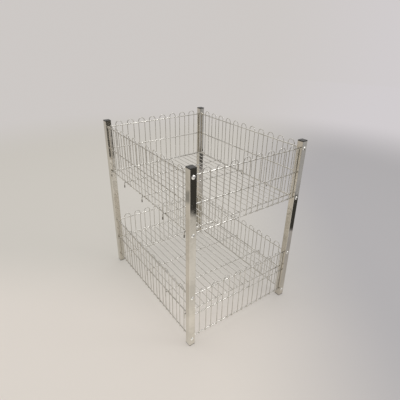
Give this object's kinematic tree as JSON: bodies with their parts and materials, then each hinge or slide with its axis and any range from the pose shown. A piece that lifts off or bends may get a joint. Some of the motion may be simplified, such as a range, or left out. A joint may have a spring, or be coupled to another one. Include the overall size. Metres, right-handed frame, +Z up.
{
  "type": "wire dump bin",
  "caption": "Free-standing two-tier wire dump bin: square chromed posts, hairpin wire panels and lift-off wire floors that hold loose goods.",
  "frame": {"origin": "on the ground, at the middle of the footprint", "axes": "+X along the long sides towards the right end, +Y from the front long side to the back one, +Z up"},
  "size_m": [0.8086, 0.621, 0.872],
  "materials": {
    "chrome_tube": "bright chromed square steel tube with faint drawing lines",
    "chrome_wire": "bright chromed round steel wire, slightly dull at the welds",
    "plated_fastener": "bright zinc-plated steel",
    "black_plastic": "fine-grained moulded black plastic"
  },
  "bodies": {
    "frame": {"post_front_left": "chrome_tube", "post_front_right": "chrome_tube", "post_back_left": "chrome_tube", "post_back_right": "chrome_tube", "cap_front_left": "black_plastic", "cap_front_right": "black_plastic", "cap_back_left": "black_plastic", "cap_back_right": "black_plastic", "foot_front_left": "black_plastic", "foot_front_right": "black_plastic", "foot_back_left": "black_plastic", "foot_back_right": "black_plastic", "bolts_front_left": "plated_fastener", "bolts_front_right": "plated_fastener", "bolts_back_left": "plated_fastener", "bolts_back_right": "plated_fastener", "lower_front_bottom_rail": "chrome_wire", "lower_front_middle_rail": "chrome_wire", "lower_front_top_rail": "chrome_wire", "lower_back_bottom_rail": "chrome_wire", "lower_back_middle_rail": "chrome_wire", "lower_back_top_rail": "chrome_wire", "lower_left_bottom_rail": "chrome_wire", "lower_left_middle_rail": "chrome_wire", "lower_left_top_rail": "chrome_wire", "lower_right_bottom_rail": "chrome_wire", "lower_right_middle_rail": "chrome_wire", "lower_right_top_rail": "chrome_wire", "upper_front_bottom_rail": "chrome_wire", "upper_front_middle_rail": "chrome_wire", "upper_front_top_rail": "chrome_wire", "upper_back_bottom_rail": "chrome_wire", "upper_back_middle_rail": "chrome_wire", "upper_back_top_rail": "chrome_wire", "upper_left_bottom_rail": "chrome_wire", "upper_left_middle_rail": "chrome_wire", "upper_left_top_rail": "chrome_wire", "upper_right_bottom_rail": "chrome_wire", "upper_right_middle_rail": "chrome_wire", "upper_right_top_rail": "chrome_wire", "lower_uprights": "chrome_wire", "upper_uprights": "chrome_wire", "lower_front_hairpins": "chrome_wire", "lower_back_hairpins": "chrome_wire", "lower_left_hairpins": "chrome_wire", "lower_right_hairpins": "chrome_wire", "upper_front_hairpins": "chrome_wire", "upper_back_hairpins": "chrome_wire", "upper_left_hairpins": "chrome_wire", "upper_right_hairpins": "chrome_wire", "lower_front_ferrules": "plated_fastener", "lower_back_ferrules": "plated_fastener", "upper_front_ferrules": "plated_fastener", "upper_back_ferrules": "plated_fastener"},
    "upper_floor": {"upper_floor_cross_wires": "chrome_wire", "upper_floor_wires": "chrome_wire"},
    "lower_floor": {"lower_floor_cross_wires": "chrome_wire", "lower_floor_wires": "chrome_wire"}
  },
  "joints": [
    {"name": "upper_floor_lift", "type": "slide", "parent": "frame", "child": "upper_floor", "axis": [0, 0, 1], "range_m": [0, 0.115]},
    {"name": "lower_floor_lift", "type": "slide", "parent": "frame", "child": "lower_floor", "axis": [0, 0, 1], "range_m": [0, 0.104]}
  ]
}
